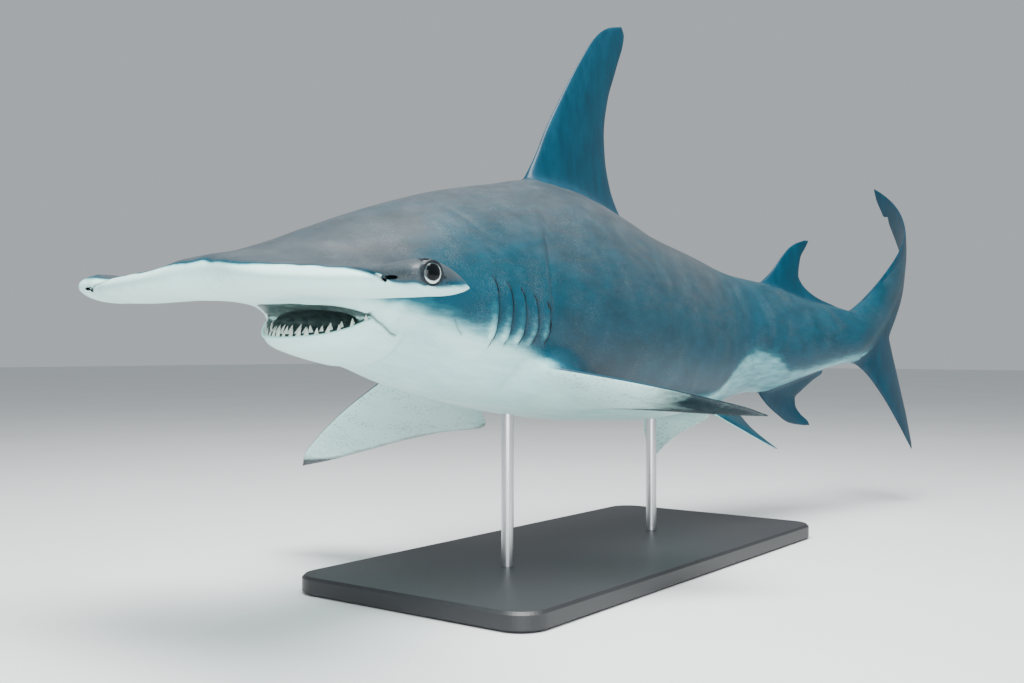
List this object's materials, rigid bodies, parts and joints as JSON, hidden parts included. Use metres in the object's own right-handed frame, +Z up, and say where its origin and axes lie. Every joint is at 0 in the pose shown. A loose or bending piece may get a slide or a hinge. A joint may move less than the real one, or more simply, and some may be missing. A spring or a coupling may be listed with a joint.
{
  "type": "great hammerhead shark display model",
  "caption": "Life-size still model of a great hammerhead shark, swimming with its tail curved round and its mouth a little open, held over a flat base by short rods.",
  "frame": {"origin": "centre of the underside of the stand's base", "axes": "+X towards the tail, so the head points to -X; +Y towards the shark's right side; +Z up"},
  "size_m": [3.2866, 1.1609, 1.3712],
  "materials": {
    "skin_back": "damp satin skin, warm grey-brown back over a teal flank",
    "skin_pale": "damp satin skin, greenish white",
    "skin_fin": "damp satin skin, dark teal",
    "eye": "clear gloss over a black pupil and a silver iris",
    "tooth": "polished enamel",
    "mouth_lining": "wet grey-green lining",
    "stand_base": "satin black powder coat",
    "stand_rod": "brushed"
  },
  "bodies": {
    "root": {"head": "skin_back", "lower_jaw": "skin_pale", "neck": "skin_back", "torso": "skin_back", "tail": "skin_back", "first_dorsal_fin": "skin_fin", "second_dorsal_fin": "skin_fin", "anal_fin": "skin_fin", "caudal_fin_upper_lobe": "skin_fin", "caudal_fin_lower_lobe": "skin_fin", "pectoral_fin_left": "skin_pale", "pectoral_fin_right": "skin_pale", "pelvic_fin_left": "skin_pale", "pelvic_fin_right": "skin_pale", "eye_left": "eye", "eye_right": "eye", "stand_base": "stand_base", "stand_rod_front": "stand_rod", "stand_rod_rear": "stand_rod"}
  },
  "joints": []
}
